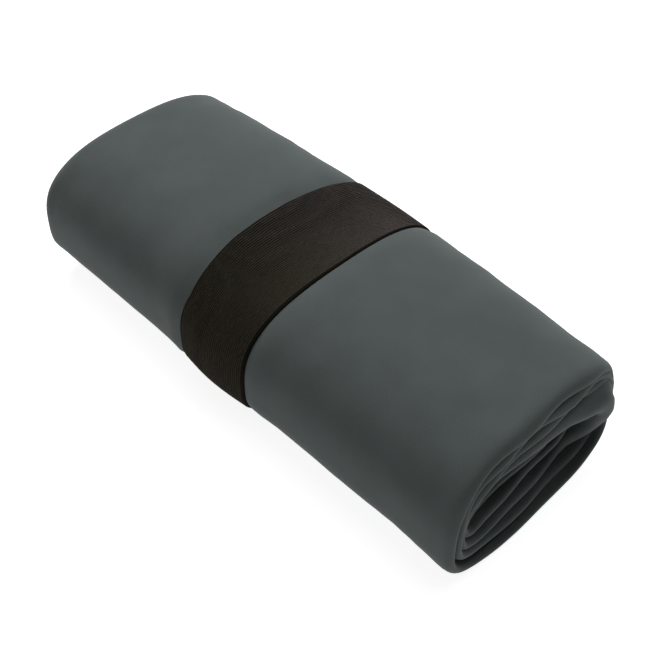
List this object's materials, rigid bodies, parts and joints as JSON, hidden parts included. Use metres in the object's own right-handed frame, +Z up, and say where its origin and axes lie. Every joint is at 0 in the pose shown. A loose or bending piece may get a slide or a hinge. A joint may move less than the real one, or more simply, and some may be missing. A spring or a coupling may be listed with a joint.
{
  "type": "quick dry towel",
  "caption": "Travel towel of thin cloth, folded in three and rolled flat, held by a wide elastic loop that slides off either end.",
  "frame": {"origin": "under the middle of the roll, on the surface that it lies on", "axes": "+X along the roll, +Y across it towards the loose end of the cloth, +Z up through its crown"},
  "size_m": [0.24, 0.1074, 0.0579],
  "materials": {
    "towel_cloth": "matt brushed microfibre, slate grey-green",
    "towel_hem": "matt microfibre, folded and sewn",
    "towel_thread": "polyester thread, slate",
    "elastic": "woven elastic, matt brown-black, fine ribs",
    "elastic_thread": "polyester thread, black"
  },
  "bodies": {
    "rolled_towel": {"towel_cloth": "towel_cloth", "tail_hem": "towel_hem", "tail_hem_stitching": "towel_thread"},
    "elastic_loop": {"elastic_band": "elastic", "band_seam_stitching": "elastic_thread"}
  },
  "joints": [
    {"name": "band_slide", "type": "slide", "parent": "rolled_towel", "child": "elastic_loop", "axis": [1, 0, 0], "range_m": [-0.134, 0.148]}
  ]
}
